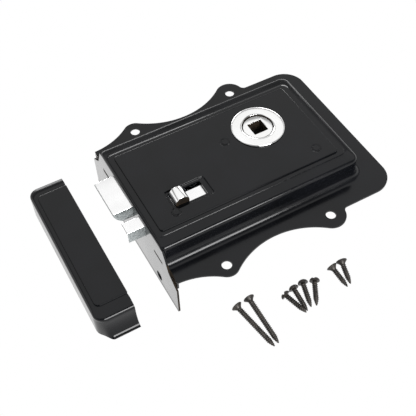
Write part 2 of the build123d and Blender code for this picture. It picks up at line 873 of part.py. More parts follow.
def keep():
    """Box keep: stepped top, flared feet at both ends, closed side with two screw holes."""
    outer = keep_form(0)
    rim = [edge for edge in level_edges(outer, fold_height) if edge.center().X > -keep_length + sheet]
    outer = fillet(rim, fold_radius)
    box = outer - keep_form(sheet)
    reach = keep_half + foot_radius + sheet
    box -= block(-keep_length - overcut, 0, -reach, reach, -overcut, panel_height + overcut)
    foot_length = keep_length - keep_corner
    for side in (-1, 1):
        box -= block(-overcut, foot_length, *foot_band(side, sheet), -overcut, sheet + foot_radius)
        box += foot_flare(side, foot_length)
        hole = Pos(keep_length, side * keep_hole_spacing / 2, keep_hole_height) * Rot(0, 90, 0)
        box -= hole * Cylinder(keep_hole, 4 * sheet)
    return Pos(keep_mouth, -keep_drop) * Rot(0, 0, 180) * box


def foot_band(side, outside):
    """Y limits of the keep's side wall, from inside it to the given distance outside."""
    return sorted((side * (keep_half - 2 * sheet), side * (keep_half + outside)))


def foot_flare(side, length):
    """Quarter ring that turns the foot of the keep's side wall outwards."""
    ring = Cylinder(foot_radius + sheet, length) - Cylinder(foot_radius, length + overcut)
    centre = Pos(length / 2, side * (keep_half + foot_radius), sheet + foot_radius)
    quarter = block(0, length, *foot_band(side, foot_radius), -overcut, sheet + foot_radius)
    return centre * Rot(0, 90, 0) * ring & quarter


def screw_length(r0, r1, z0, z1):
    """Many-sided length of a screw, from one radius to another along Z, drawn from its wide end."""
    wide, narrow = max(r0, r1), min(r0, r1)
    fall = (wide - narrow) * math.cos(math.pi / screw_sides)
    taper = math.degrees(math.atan(fall / (z1 - z0)))
    length = extrude(RegularPolygon(wide, screw_sides), z1 - z0, taper=taper)
    if r0 < r1:
        return Pos(0, 0, z1) * Rot(180, 0, 0) * length
    return Pos(0, 0, z0) * length


def screw_body(top):
    """Point and shank of a wood screw, its point at the origin."""
    point = screw_length(screw_tip, screw_shank, 0, screw_point)
    return point + screw_length(screw_shank, screw_shank, screw_point, top)


def countersunk_screw(length):
    """Wood screw with a flat countersunk head, standing on its point."""
    under = length - screw_head_height
    rim = length - screw_head_rim
    head = screw_length(screw_shank, screw_head, under, rim)
    return screw_body(under) + head + screw_length(screw_head, screw_head, rim, length)


def round_head_screw(length):
    """Wood screw with a domed head in two slopes, standing on its point."""
    under = length - round_head_height
    shoulder = length - round_head_height * round_head_break
    dome = screw_length(screw_head, round_head_shoulder, under, shoulder)
    return screw_body(under) + dome + screw_length(round_head_shoulder, round_head_top, shoulder, length)


def laid_down(screw, length, rim, x, y, heading):
    """Screw resting on the rim of its head and its shank, head at x, y and point toward heading.

    rim is the distance from the point to the widest part of the head.
    """
    tilt = math.atan((screw_head - screw_shank) / (rim - screw_point))
    lift = screw_shank * math.cos(tilt) - screw_point * math.sin(tilt)
    reach = length * math.cos(tilt)
    turn = math.radians(heading)
    point = Pos(x + reach * math.cos(turn), y + reach * math.sin(turn), lift)
    return point * Rot(0, 0, heading + 180) * Rot(0, 90 - math.degrees(tilt), 0) * screw


def loose_screws(kind, length, rim, start, pitch, places):
    """Group of like screws in the row, each a little back from it and turned to its heading."""
    screws = []
    for i, (back, heading) in enumerate(places):
        place = (start + i * pitch, back - screw_row, heading)
        screws.append(laid_down(kind(length), length, rim, *place))
    return Compound(children=screws)


def keep_screws():
    """Two long countersunk screws for the keep."""
    places = [(5.7, -79.2), (6.6, -89.6)]
    length = long_screw
    return loose_screws(countersunk_screw, length, length, long_screw_x, long_screw_pitch, places)


def case_screws():
    """Four round-head screws for the scroll flange."""
    rim = case_screw - round_head_height
    places = [(0.3, -70.1), (1.6, -90.8), (2.0, -104.2), (0.0, -118.4)]
    return loose_screws(round_head_screw, case_screw, rim, case_screw_x, case_screw_pitch, places)


def lip_screws():
    """Two short countersunk screws for the forend lip."""
    places = [(1.9, -85.6), (2.2, -103.1)]
    length = short_screw
    return loose_screws(countersunk_screw, length, length, short_screw_x, short_screw_pitch, places)


def build():
    """Every node and its shape."""
    return {
        "case_cover": case_cover(),
        "back_plate": back_plate(),
        "case_pillars": case_pillars(),
        "back_plate_screws": back_plate_screws(),
        "rose": rose(),
        "follower": follower(),
        "latch_head": latch_head(),
        "latch_tail": latch_tail(),
        "tail_rivets": tail_rivets(),
        "guide_rod": rod_form(0),
        "latch_guide": latch_guide(),
        "guide_rivets": guide_rivets(),
        "latch_spring": latch_spring(),
        "privacy_bolt": privacy_bolt(),
        "snib_slide": snib_slide(),
        "snib_rivets": snib_rivets(),
        "snib_button": snib_button(),
        "button_rivet": Pos(button_x, slide_mid) * button_rivet_form(0),
        "snib_guide": snib_guide(),
        "detent_post": detent_post(),
        "detent_spring": detent_spring(),
        "keep": keep(),
        "keep_screws": keep_screws(),
        "case_screws": case_screws(),
        "lip_screws": lip_screws(),
    }


os.makedirs("parts", exist_ok=True)
for name, shape in build().items():
    export_step(shape, f"parts/{name}.step")
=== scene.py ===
"""Rim latch with a privacy bolt, its keep and its loose screws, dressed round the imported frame."""

import math

import bmesh
import bpy
import numpy as np
from mathutils import Matrix, Vector
from mathutils.geometry import delaunay_2d_cdt


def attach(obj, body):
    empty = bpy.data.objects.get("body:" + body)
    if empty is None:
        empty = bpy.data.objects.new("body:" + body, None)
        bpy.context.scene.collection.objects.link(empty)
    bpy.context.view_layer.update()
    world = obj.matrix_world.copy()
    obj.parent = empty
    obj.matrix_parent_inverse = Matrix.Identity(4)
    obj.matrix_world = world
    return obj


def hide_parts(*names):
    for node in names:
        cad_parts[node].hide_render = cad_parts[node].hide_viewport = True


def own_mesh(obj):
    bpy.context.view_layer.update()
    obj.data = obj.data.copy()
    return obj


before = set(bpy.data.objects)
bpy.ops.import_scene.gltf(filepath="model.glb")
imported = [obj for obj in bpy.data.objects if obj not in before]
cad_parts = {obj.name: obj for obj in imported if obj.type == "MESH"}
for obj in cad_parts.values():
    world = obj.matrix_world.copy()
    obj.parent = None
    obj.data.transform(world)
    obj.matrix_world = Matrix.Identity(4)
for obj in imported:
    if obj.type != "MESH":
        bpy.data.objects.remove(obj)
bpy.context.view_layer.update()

# The case cover is one steel sheet, pressed to a raised panel, a stepped ledge and sloping bands,
# with a scroll-edged flange for four screws, and folded down at the bolts' end into the forend and
# its lip. It is dip-painted black and stoved. Its sizes are in millimetres from the forend's face.
sheet = 1.0
case_x, case_y = -80.0, -8.0
panel_z, ledge_z, fold_z, flap_top = 15.6, 14.7, 13.6, 12.3
panel_bevel, bevel_drop, crease = 0.35, 0.12, 0.16
fold_radius, foot_radius, bend_radius = 2.0, 3.8, 2.4
fold_width, wall_lean, near_corner = 72.6, 0.6, 2.6
ear_x, ear_y, ear_hole = (26.8, 87.8), 51.25, 2.6
arc_steps = 12


def tier(start, end, half, near, far):
    """One level of the pressing: its start, end and half width, and near and far corner radii."""
    return np.array([start, end, half, near, far])


def grown(level, out):
    """A level grown outwards by a distance on every side."""
    return level + out * np.array([-1, 1, 1, 1, 1])


def ring(level, along, across):
    """Closed rounded rectangle: straight sides at the given shares, and four quarter circles."""
    start, end, half, near, far = level
    near, far = max(near, 0.0), max(far, 0.0)
    turn = np.linspace(0, math.pi / 2, arc_steps)

    def corner(x, y, radius, first):
        return np.stack([x + radius * np.cos(first + turn), y + radius * np.sin(first + turn)], 1)

    lengthwise = start + near + (end - far - start - near) * along
    far_side = (half - far) * (2 * across - 1)
    near_side = (half - near) * (2 * across - 1)
    return np.concatenate([
        corner(start + near, near - half, near, math.pi),
        np.stack([lengthwise, np.full_like(lengthwise, -half)], 1),
        corner(end - far, far - half, far, -math.pi / 2),
        np.stack([np.full_like(far_side, end), far_side], 1),
        corner(end - far, half - far, far, 0),
        np.stack([lengthwise[::-1], np.full_like(lengthwise, half)], 1),
        corner(start + near, half - near, near, math.pi / 2),
        np.stack([np.full_like(near_side, start), near_side[::-1]], 1),
    ])


def shares(marks, count):
    """Rising shares between 0 and 1: an even run of count, and every mark in between.

    A share closer to an end than the margin, or to the one before it than the gap, is left out.
    """
    margin, gap = 1e-4, 3e-4
    samples = np.concatenate([np.asarray(marks, float), np.linspace(0, 1, count)])
    samples = np.unique(np.round(samples[(samples > margin) & (samples < 1 - margin)], 6))
    return samples[np.concatenate([[True], np.diff(samples) > gap])]


def fold_arc(run):
    """Angle of a band that falls from ledge to fold over a run, and its arc's centre's height.

    The arc touches the band's line and the wall: its centre lies below where the two would meet,
    by radius * (1 / cos(angle) - tan(angle)).
    """
    angle = math.atan((ledge_z - fold_z) / run)
    return angle, fold_z + fold_radius * (math.tan(angle) - 1 / math.cos(angle))


def fold_offset(z, inner, outer):
    """Distance out at a height: on the band, then on the fold's arc, then on the wall."""
    angle, centre = fold_arc(outer - inner)
    tangent = centre + fold_radius * math.cos(angle)
    rounded = outer - fold_radius + np.sqrt(np.clip(fold_radius**2 - (z - centre) ** 2, 0, None))
    below = np.where(z >= centre, rounded, outer)
    return np.where(z >= tangent, outer - (z - fold_z) / math.tan(angle), below)


def inner_levels(levels, heights):
    """Levels and heights of the inner skin: each point moved back along its profile's normal."""
    levels, heights = np.array(levels), np.array(heights)
    drop = np.gradient(heights)

    def moves(column, sign):
        """How far one side's profile moves in, and how far down, by the sheet's thickness."""
        run = np.gradient(levels[:, column]) * sign
        length = np.maximum(np.hypot(run, drop), 1e-9)
        return sheet * -drop / length, sheet * run / length

    moved = levels.copy()
    moved[:, 0] += moves(0, -1)[0]
    moved[:, 1] -= moves(1, 1)[0]
    inwards, down = moves(2, 1)
    moved[:, 2:] -= inwards[:, None]
    return moved, heights - down


def skin(levels, heights, along, across):
    """Rings of a pressing as one array of rows by columns by three."""
    rings = np.stack([ring(level, along, across) for level in levels])
    upright = np.broadcast_to(heights[:, None, None], rings.shape[:2] + (1,))
    return np.concatenate([rings, upright], -1)


def grid_faces(rows, columns, closed=False):
    """Quads between neighbouring points of a rows by columns grid, numbered row by row."""
    i, j = np.meshgrid(np.arange(rows - 1), np.arange(columns - (not closed)), indexing="ij")
    here, beside = i * columns + j, i * columns + (j + 1) % columns
    return np.stack([here, beside, beside + columns, here + columns], -1).reshape(-1, 4)


def closed_sheet(patches):
    """Closed sheet from (outer skin, inner skin, faces) patches: both skins and a rim.

    Outer points at one place are merged. The rim joins the skins along every edge with one face.
    """
    outer = np.concatenate([patch[0].reshape(-1, 3) for patch in patches])
    inner = np.concatenate([patch[1].reshape(-1, 3) for patch in patches])
    starts = np.cumsum([0] + [patch[0].size // 3 for patch in patches[:-1]])
    faces = [patch[2] + start for patch, start in zip(patches, starts)]
    quads = [np.pad(some, ((0, 0), (0, 4 - some.shape[1])), mode="edge") for some in faces]
    faces = np.concatenate(quads)
    place = np.round(outer * 1e4).astype(int)
    _, first, group = np.unique(place, axis=0, return_index=True, return_inverse=True)
    faces = group.reshape(-1)[faces]
    outer, inner = outer[first], inner[first]
    edges = np.stack([faces, np.roll(faces, -1, axis=1)], -1).reshape(-1, 2)
    edges = edges[edges[:, 0] != edges[:, 1]]
    pairs = np.sort(edges, axis=1)
    _, index, counts = np.unique(pairs, axis=0, return_index=True, return_counts=True)
    rim = edges[index[counts == 1]]
    count = len(outer)
    sides = np.stack([rim[:, 1], rim[:, 0], rim[:, 0] + count, rim[:, 1] + count], 1)
    return np.concatenate([outer, inner]), np.concatenate([faces, faces[:, ::-1] + count, sides])


def piece_from(name, points, faces, caps=(), sharp=35.0):
    """Mesh object from millimetre points and faces: merged, facing outwards, smooth to an angle."""
    mesh = bpy.data.meshes.new(name)
    loops = [list(dict.fromkeys(face)) for face in [*np.asarray(faces).tolist(), *caps]]
    mesh.from_pydata((points * 0.001).tolist(), [], [face for face in loops if len(face) > 2])
    shell = bmesh.new()
    shell.from_mesh(mesh)
    bmesh.ops.remove_doubles(shell, verts=shell.verts, dist=2e-7)
    bmesh.ops.recalc_face_normals(shell, faces=shell.faces)
    shell.to_mesh(mesh)
    shell.free()
    piece = bpy.data.objects.new(name, mesh)
    bpy.context.scene.collection.objects.link(piece)
    mesh.polygons.foreach_set("use_smooth", np.ones(len(mesh.polygons), bool))
    mesh.set_sharp_from_angle(angle=math.radians(sharp))
    return piece


def scroll_edge(count):
    """Upper half of the flange's edge as even points, from the forend to the far side's middle.

    It is a run of arcs, each tangent to the next: a sweep away from the forend, the small ear, a
    hollow, the large ear, a short hollow behind it, then straight runs joined by one rounded
    corner. Two arcs are tangent where their centres lie as far apart as their radii add up to.
    """
    small, large = ear_x
    small_r, large_r, waist_r, shoulder_r = 6.6, 8.0, 42.0, 3.0
    horn, tail, tail_corner, far = 48.6, 50.8, 12.2, 130.0
    drop = ear_y - horn
    sweep_r = (small**2 + drop**2 - small_r**2) / (2 * (small_r + drop))
    sweep = np.array([0.0, horn + sweep_r])
    span = large - small
    reach = (span**2 + (small_r + waist_r) ** 2 - (large_r + waist_r) ** 2) / (2 * span)
    waist = np.array([small + reach, ear_y + math.sqrt((small_r + waist_r) ** 2 - reach**2)])
    rise = tail + shoulder_r - ear_y
    behind = large + math.sqrt((large_r + shoulder_r) ** 2 - rise**2)
    shoulder = np.array([behind, tail + shoulder_r])
    ears = [np.array([small, ear_y]), np.array([large, ear_y])]

    def direction(a, b):
        return math.atan2(b[1] - a[1], b[0] - a[0])

    def arc(centre, radius, a0, a1):
        a = np.linspace(a0, a1, 80)
        return np.stack([centre[0] + radius * np.cos(a), centre[1] + radius * np.sin(a)], 1)

    path = np.concatenate([
        arc(sweep, sweep_r, -math.pi / 2, direction(sweep, ears[0])),
        arc(ears[0], small_r, direction(ears[0], sweep), direction(ears[0], waist)),
        arc(waist, waist_r, direction(waist, ears[0]), direction(waist, ears[1])),
        arc(ears[1], large_r, direction(ears[1], waist), direction(ears[1], shoulder)),
        arc(shoulder, shoulder_r, direction(shoulder, ears[1]) + 2 * math.pi, 1.5 * math.pi),
        arc((far - tail_corner, tail - tail_corner), tail_corner, math.pi / 2, 0),
        [[far, 0.0]],
    ])
    length = np.concatenate([[0], np.cumsum(np.hypot(*np.diff(path, axis=0).T))])
    even = np.linspace(0, length[-1], count)
    return np.stack([np.interp(even, length, path[:, k]) for k in (0, 1)], 1)


def flat_patch(outline, holes):
    """Triangles of a flat region: inside its outline, and outside its (x, y, radius) holes."""
    turn = np.linspace(0, 2 * math.pi, 48, endpoint=False)
    circle = np.stack([np.cos(turn), np.sin(turn)], 1)
    loops = [outline] + [np.array([x, y]) + radius * circle for x, y, radius in holes]
    edges, first = [], 0
    for loop in loops:
        index = np.arange(len(loop))
        edges += (np.stack([index, (index + 1) % len(loop)], 1) + first).tolist()
        first += len(loop)
    given = np.concatenate(loops)
    cut = delaunay_2d_cdt([Vector(point) for point in given], edges, [], 1, 1e-5)
    faces, origins = cut[2:4]
    points = given[[origin[0] for origin in origins]]
    faces = np.array([face for face in faces if len(face) == 3])
    middle = points[faces].mean(1)
    solid = np.ones(len(faces), bool)
    for x, y, radius in holes:
        solid &= np.hypot(middle[:, 0] - x, middle[:, 1] - y) > radius
    return points, faces[solid]


def plate(outline, holes, axis, outer, inner):
    """Patch of flat sheet across an axis: its skins at outer and inner on it, and its faces."""
    plan, faces = flat_patch(outline, holes)
    return np.insert(plan, axis, outer, axis=1), np.insert(plan, axis, inner, axis=1), faces


def both_ways(line):
    """A line and its mirror image in Y: there along the -Y side, and back along the +Y side."""
    return np.concatenate([line * [1, -1], line[-2::-1]])


# The panel's openings, the sunk frame round the button's slot, the rings dented round the pillars'
# peened ends, and the forend's windows and tab slots, each as its span in y and in z
rose_at, rose_clear = np.array([80.0, 8.0]), 9.4
slot_x, slot_y = (17.3, 35.5), (-17.4, -8.2)
sunk_x, sunk_y = (15.8, 38.6), (-19.6, -6.6)
sunk_depth, sunk_slope, sunk_corner = 0.9, 0.55, 1.6
peened = np.array([(59.5, 7.5), (98.4, -19.9), (16.0, -20.7)])
peened_ring, peened_width, peened_sink = 2.15, 0.38, 0.34
tab_from, tab_to, tab_z = 25.9, 34.9, (-0.1, 1.3)
windows = [((-3.9, 19.9), (2.55, 11.5)), ((-17.85, -10.25), (2.65, 11.5))]
windows += [((-tab_to, -tab_from), tab_z), ((tab_from, tab_to), tab_z)]

panel_level = tier(4.3, 107.2, 27.2, 1.6, 1.6)
ledge_level = tier(bend_radius, 110.5, 29.5, 2.0, 3.2)
fold_level = tier(0.0, 115.2, fold_width / 2, near_corner, 5.0)
inmost = tier(7.5, 104.0, 24.0, 0, 0)

# The grid has a line along each edge of an opening, and closer ones across the frame and the rings
frame_band = np.linspace(-0.2, sunk_slope, 9)
ring_band = np.array([0.8, 1.5, 1.9, 2.2, 2.5, 2.8, 3.3])
ring_band = np.concatenate([-ring_band[::-1], ring_band])


def marks(sunk, slot, rose_middle, rings):
    """Places of those lines in one direction."""
    edges = [sunk[0] + frame_band, sunk[1] - frame_band, slot]
    edges.append([rose_middle - rose_clear, rose_middle + rose_clear])
    return np.concatenate(edges + [middle + ring_band for middle in rings])


flap_half = fold_width / 2 - near_corner
window_sides = np.array([y for span, _ in windows for y in span])
along = (marks(sunk_x, slot_x, rose_at[0], peened[:, 0]) - inmost[0]) / (inmost[1] - inmost[0])
along = shares(along, 56)
across = (marks(sunk_y, slot_y, rose_at[1], peened[:, 1]) + inmost[2]) / (2 * inmost[2])
across = shares(np.concatenate([across, (window_sides + flap_half) / (2 * flap_half)]), 34)


def pressed_top(inmost, panel, ledge, fold, band):
    """Levels and heights of a stepped face, from its flat panel down to the top of its walls.

    The panel's edge is bevelled before it drops to a tight crease, and the ledge is level. The
    band, given as shares of the way and heights, falls to the fold, whose round turns it into the
    upright wall.
    """
    edge = [(-1.0, panel_z), (-panel_bevel, panel_z)]
    edge += [(-panel_bevel / 2, panel_z - 0.4 * bevel_drop), (0, panel_z - bevel_drop)]
    edge.append((crease, ledge_z))
    levels = [inmost] + [grown(panel, out) for out, _ in edge]
    heights = [panel_z] + [z for _, z in edge]
    inner_edge = levels[-1]
    for share in (0.15, 0.5, 0.85, 1.0):
        levels.append(inner_edge + (ledge - inner_edge) * share)
        heights.append(ledge_z)
    for share, z in band:
        levels.append(ledge + (fold - ledge) * share)
        heights.append(z)
    angle, centre = fold_arc(fold[2] - ledge[2])
    rounded = centre + fold_radius * np.cos(np.linspace(angle, math.pi / 2, 16))
    for z in [*rounded[rounded > flap_top + 0.03], flap_top]:
        level = ledge + (fold - ledge) * (ledge_z - z) / (ledge_z - flap_top)
        for side in (1, 2):
            level[side] = fold_offset(z, ledge[side], fold[side])
        levels.append(level)
        heights.append(z)
    return levels, heights


# A small second step runs along the inner edge of the case's band
step_band = [(0.02, 14.69), (0.03, 14.63), (0.055, 14.46), (0.066, 14.41)]
step_band += [(0.3, 14.31), (0.5, 14.14)]
levels, heights = pressed_top(inmost, panel_level, ledge_level, fold_level, step_band)
top_rows = len(levels)
for level, z in zip(levels, heights):
    # The forend folds straight down from the ledge, on the bend's own radius
    if z < ledge_z:
        level[0] = bend_radius - math.sqrt(max(bend_radius**2 - (z - flap_top) ** 2, 0))

# The walls lean out as they go down, and turn out in a quarter circle at their feet
foot_top = sheet + foot_radius
for z in (11.9, 11.2, 9.0, 7.0, 5.6, foot_top):
    levels.append(grown(fold_level, wall_lean * (flap_top - z) / flap_top))
    heights.append(z)
foot_out = wall_lean * (flap_top - foot_top) / flap_top
for turn in np.linspace(0, math.pi / 2, 10)[1:]:
    levels.append(grown(fold_level, foot_out + foot_radius * (1 - math.cos(turn))))
    heights.append(foot_top - foot_radius * math.sin(turn))
inside_levels, inside_heights = inner_levels(levels, heights)
outside = skin(levels, np.array(heights), along, across)
inside = skin(inside_levels, inside_heights, along, across)
columns = outside.shape[1]
top_faces = grid_faces(top_rows, columns, closed=True)

# They run round the near corners until they meet the back of the forend
behind_out, behind_in, corner_part, foot_strip = 0.3, 0.6, 3, 0.5
u_line = slice(corner_part, columns - len(across) - corner_part)
strip = ring(grown(fold_level, foot_out + foot_radius + foot_strip), along, across)[u_line]
wall_out, wall_in = (
    np.concatenate([rows[top_rows - 1 :, u_line], np.insert(strip, 2, z, axis=1)[None]])
    for rows, z in ((outside, sheet), (inside, 0))
)
wall_out[..., 0] = np.maximum(wall_out[..., 0], behind_out)
wall_in[..., 0] = np.maximum(wall_in[..., 0], behind_in)
wall_faces = grid_faces(*wall_out.shape[:2])

# Flange: from the walls' feet out to the scroll edge, and up to the back of the forend
flange_start = 1.0
strip = strip[strip[:, 0] > behind_out]
edge = scroll_edge(420)
edge_y = np.interp(flange_start, edge[:, 0], edge[:, 1])
edge = np.concatenate([[[flange_start, edge_y]], edge[edge[:, 0] > flange_start + 0.2]])
ear_holes = [(x, side * ear_y, ear_hole) for x in ear_x for side in (-1, 1)]
flange = plate(np.concatenate([strip, both_ways(edge)[::-1]]), ear_holes, 2, sheet, 0)

# Behind the slanted shoulders of the lip a bent strip of the sheet closes the corner up to the
# flange; it is painted near-black as shade. Its outline is in y and z.
strip_in, strip_edge, strip_front, strip_back = 36.9, edge_y - 0.2, 1.03, 1.9
shoulder_line = [(strip_in, 0.9), (strip_edge, 0.9), (strip_edge, -4.4), (43.0, -2.6)]
shoulder_line = np.array([*shoulder_line, (strip_in, -1.6)])
shoulders = [plate(shoulder_line * [side, 1], [], 0, strip_front, strip_back) for side in (-1, 1)]

# Forend flap: rows down the sheet, columns in step with the fold above and fanned out to the
# slanted sides, which are given as heights below zero and half widths
lip_half, lip_corner, lip_low = 49.5, 1.0, -24.3
flap_rows = np.array([
    flap_top, 11.5, 10, 8, 6.5, 4.8, 3.6, 2.65, 2.55, 1.9, 1.3, 1, 0.4, -0.1, -1.5, -3, -4.5, -4.8,
    -5.2, -8,
])
flap_inner = outside[top_rows - 1, columns - len(across) - 1 :, 1]
flap_inner = np.append(flap_inner, outside[top_rows - 1, 0, 1])
side_depths, side_halves = [-flap_top, -4.8, -1.0, 4.8], [fold_width / 2, 39.7, 41.3, lip_half]
side_line = np.interp(-flap_rows, side_depths, side_halves)
fan = np.linspace(0, 1, 8)[1:]
beyond = flap_half + (side_line[:, None] - flap_half) * fan
middle_columns = np.broadcast_to(flap_inner, (len(flap_rows), len(flap_inner)))
flap_y = np.concatenate([beyond[:, ::-1], middle_columns, -beyond], 1)
flap_z = np.broadcast_to(flap_rows[:, None], flap_y.shape)
flap_out = np.stack([np.zeros_like(flap_y), flap_y, flap_z], -1)
flap_in = flap_out + np.array([sheet, 0, 0])
flap_faces = grid_faces(*flap_y.shape)
_, y, z = flap_out.reshape(-1, 3)[flap_faces].mean(1).T
for (y0, y1), (z0, z1) in windows:
    closed = ~((y > y0) & (y < y1) & (z > z0) & (z < z1))
    flap_faces, y, z = flap_faces[closed], y[closed], z[closed]

# Lip: below the flap, with rounded lower corners and two countersunk holes
lip_hole_y, lip_hole_z, lip_hole, lip_sink = 28.9, -18.2, 2.2, 2.95
turn = np.linspace(0, math.pi / 2, 8)
corner = [lip_half - lip_corner * (1 - np.cos(turn)), lip_low + lip_corner * (1 - np.sin(turn))]
corner = np.stack(corner, 1)
lip_line = np.insert(flap_y[-1][:, None], 1, flap_rows[-1], axis=1)
lip_line = np.concatenate([lip_line, corner * [-1, 1], corner[::-1]])
lip_holes = [(side * lip_hole_y, lip_hole_z, lip_sink) for side in (-1, 1)]
lip = plate(lip_line, lip_holes, 0, 0, sheet)
lip_plan, lip_inside = lip[0][:, 1:], lip[1][:, 1:]
for y, z, radius in lip_holes:
    on_rim = np.abs(np.hypot(lip_plan[:, 0] - y, lip_plan[:, 1] - z) - radius)[:, None] < 0.01
    narrowed = [y, z] + (lip_plan - [y, z]) * lip_hole / radius
    lip_inside[:] = np.where(on_rim, narrowed, lip_inside)


# Panel: a plain grid, sunk in a rounded frame round the button's slot, with a ring dented round
# each peened pillar end, and open at the slot and the rose
def flat_grid(level, along, across):
    """Grid in x and y over a level's rectangle, in step with the rings outside it."""
    x = level[0] + (level[1] - level[0]) * np.concatenate([[0], along, [1]])
    return np.meshgrid(x, level[2] * (2 * np.concatenate([[0], across, [1]]) - 1), indexing="ij")


px, py = flat_grid(inmost, along, across)
past = [
    np.abs(place - (low + high) / 2) - (high - low) / 2 + sunk_corner
    for place, (low, high) in ((px, sunk_x), (py, sunk_y))
]
to_edge = np.hypot(*np.clip(past, 0, None)) + np.minimum(np.max(past, axis=0), 0) - sunk_corner
ease = np.clip(-to_edge / sunk_slope, 0, 1)
pz = panel_z - sunk_depth * ease * ease * (3 - 2 * ease)
for x, y in peened:
    reach = np.hypot(px - x, py - y)
    pz -= peened_sink * np.exp(-(((reach - peened_ring) / peened_width) ** 2))
panel_out = np.stack([px, py, pz], -1)
panel_in = panel_out - np.array([0, 0, sheet])
panel_faces = grid_faces(*px.shape)
x, y, _ = panel_out.reshape(-1, 3)[panel_faces].mean(1).T
in_slot = (x > slot_x[0]) & (x < slot_x[1]) & (y > slot_y[0]) & (y < slot_y[1])
in_rose = np.maximum(np.abs(x - rose_at[0]), np.abs(y - rose_at[1])) < rose_clear
panel_faces = panel_faces[~(in_slot | in_rose)]

# The back plate's tabs fill their two slots. Caps over their ends, a hair proud of the forend and
# painted near-black as shade, are each given as a side and a lower and an upper edge.
tab_front, tab_back = -0.03, 0.6
tab_shade_caps = []
for side, low, high in ((-1, -0.2, 1.45), (1, -0.5, 1.75)):
    tab_line = np.array([(tab_from, low), (tab_to, low), (tab_to, high), (tab_from, high)])
    tab_shade_caps.append(plate(tab_line * [side, 1], [], 0, tab_front, tab_back))

patches = [
    (outside[:top_rows], inside[:top_rows], top_faces), (wall_out, wall_in, wall_faces), flange,
    *shoulders, *tab_shade_caps, (flap_out, flap_in, flap_faces), lip, (panel_out, panel_in, panel_faces),
]
cover_points, cover_faces = closed_sheet(patches)
cover = piece_from("case_cover_pressing", cover_points + [case_x, case_y, 0], cover_faces, sharp=38)


def linear(colour):
    """Linear red, green, blue and alpha of an sRGB hex colour."""
    parts = np.array([int(colour[i : i + 2], 16) for i in (1, 3, 5)]) / 255
    bright = ((parts + 0.055) / 1.055) ** 2.4
    return [*np.where(parts <= 0.04045, parts / 12.92, bright).tolist(), 1.0]


def add(material, kind, settings=(), links=()):
    """One node: attributes and socket values from settings, and links from (node, output) pairs."""
    node = material.node_tree.nodes.new(kind)
    for name, value in dict(settings).items():
        if isinstance(name, str) and hasattr(node, name):
            setattr(node, name, value)
        else:
            node.inputs[name].default_value = value
    for socket, (source, output) in dict(links).items():
        material.node_tree.links.new(source.outputs[output], node.inputs[socket])
    return node


def surface(name, colours, roughness, cloud_size, grain_size, grain_depth, **settings):
    """Material with a clouded colour and gloss, and a fine relief.

    Two noises on Object coordinates drive it: a slow one of cloud_size mixes the two colours and
    moves the roughness between its two limits, and a fine one of grain_size raises a bump
    grain_depth high, all in millimetres. settings are further sockets of the shader, with
    underscores for spaces.
    """
    material = bpy.data.materials.new(name)
    material.use_nodes = True
    shader = material.node_tree.nodes["Principled BSDF"]
    for socket, value in settings.items():
        shader.inputs[socket.replace("_", " ")].default_value = value
    low, high = 0.35, 0.65
    place = {"Vector": (add(material, "ShaderNodeTexCoord"), "Object")}
    cloud = add(material, "ShaderNodeTexNoise", {"Scale": 1000 / cloud_size, "Detail": 3.0}, place)
    tone = add(material, "ShaderNodeValToRGB", links={"Fac": (cloud, "Fac")})
    for element, stop, colour in zip(tone.color_ramp.elements, (low, high), colours):
        element.position = stop
        element.color = linear(colour)
    limits = {"From Min": low, "From Max": high, "To Min": roughness[0], "To Max": roughness[1]}
    gloss = add(material, "ShaderNodeMapRange", limits, {"Value": (cloud, "Fac")})
    grain = add(material, "ShaderNodeTexNoise", {"Scale": 1000 / grain_size, "Detail": 2.0}, place)
    depth = {"Distance": grain_depth / 1000, "Strength": 1.0}
    relief = add(material, "ShaderNodeBump", depth, {"Height": (grain, "Fac")})
    for socket, node, output in (
        ("Base Color", tone, "Color"), ("Roughness", gloss, "Result"), ("Normal", relief, "Normal"),
    ):
        material.node_tree.links.new(node.outputs[output], shader.inputs[socket])
    return material


def second_finish(piece, material, chosen):
    """Another material for faces whose centres, in millimetres, pass chosen(x, y, z, normal)."""
    count = len(piece.data.polygons)
    centre, normal = np.empty(count * 3), np.empty(count * 3)
    piece.data.polygons.foreach_get("center", centre)
    piece.data.polygons.foreach_get("normal", normal)
    x, y, z = centre.reshape(-1, 3).T * 1000
    index = chosen(x, y, z, normal.reshape(-1, 3)).astype(np.int32)
    piece.data.materials.append(material)
    piece.data.polygons.foreach_set("material_index", index)
    piece.data.update()


def dress(piece, material, body, slot, *nodes):
    """Give a piece its material and body, and hide the CAD nodes that it stands for. The finish slot
    is not used.
    """
    piece.data.materials.append(material)
    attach(piece, body)
    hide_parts(*nodes)


def finish_node(name, material):
    """Give a CAD node that stays in view its own material."""
    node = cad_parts[name]
    node.data.materials.clear()
    node.data.materials.append(material)


# Stoved black enamel on steel: a dense black with a satin gloss. The dip leaves a slightly uneven
# gloss and an orange peel a millimetre or two across, so long reflections waver a little.
enamel = surface(
    "stoved_black_enamel", ("#090a0c", "#0d0e11"), (0.13, 0.19), 18.0, 1.8, 0.0018, IOR=1.36,
)
dress(cover, enamel, "case", "black_paint", "case_cover")

# Painted shade: a warm near-black with no gloss, put into slots, bores and gaps, and on faces that
# should read dark
painted_shade_steel = surface("painted_shade_near_black", ("#1d1915", "#2b241c"), (0.5, 0.65), 3.0, 0.6, 0.01, IOR=1.15)


def painted_shade_places(x, y, z, normal):
    """Painted shade on the tab slots, the caps over the tabs' ends, the lip's cut edges and the
    strips behind those.
    """
    deep, across, facing = x - case_x, np.abs(y - case_y), np.abs(normal[:, 0])
    from_slot = np.abs(across - (tab_from + tab_to) / 2) - (tab_to - tab_from) / 2
    slot = (deep > 0.02) & (from_slot < 0.9) & (z > -0.6) & (z < 1.8)
    end = (deep < -0.02) & (from_slot < 0.1)
    cut = (deep > 0.05) & (deep < 1.15) & (across > 35) & (z < 4.8) & (facing < 0.5)
    strip = (deep > 1.01) & (across > 36.5) & (z > -4.6) & (facing > 0.7)
    return (deep < 2.5) & (slot | end | cut | strip)


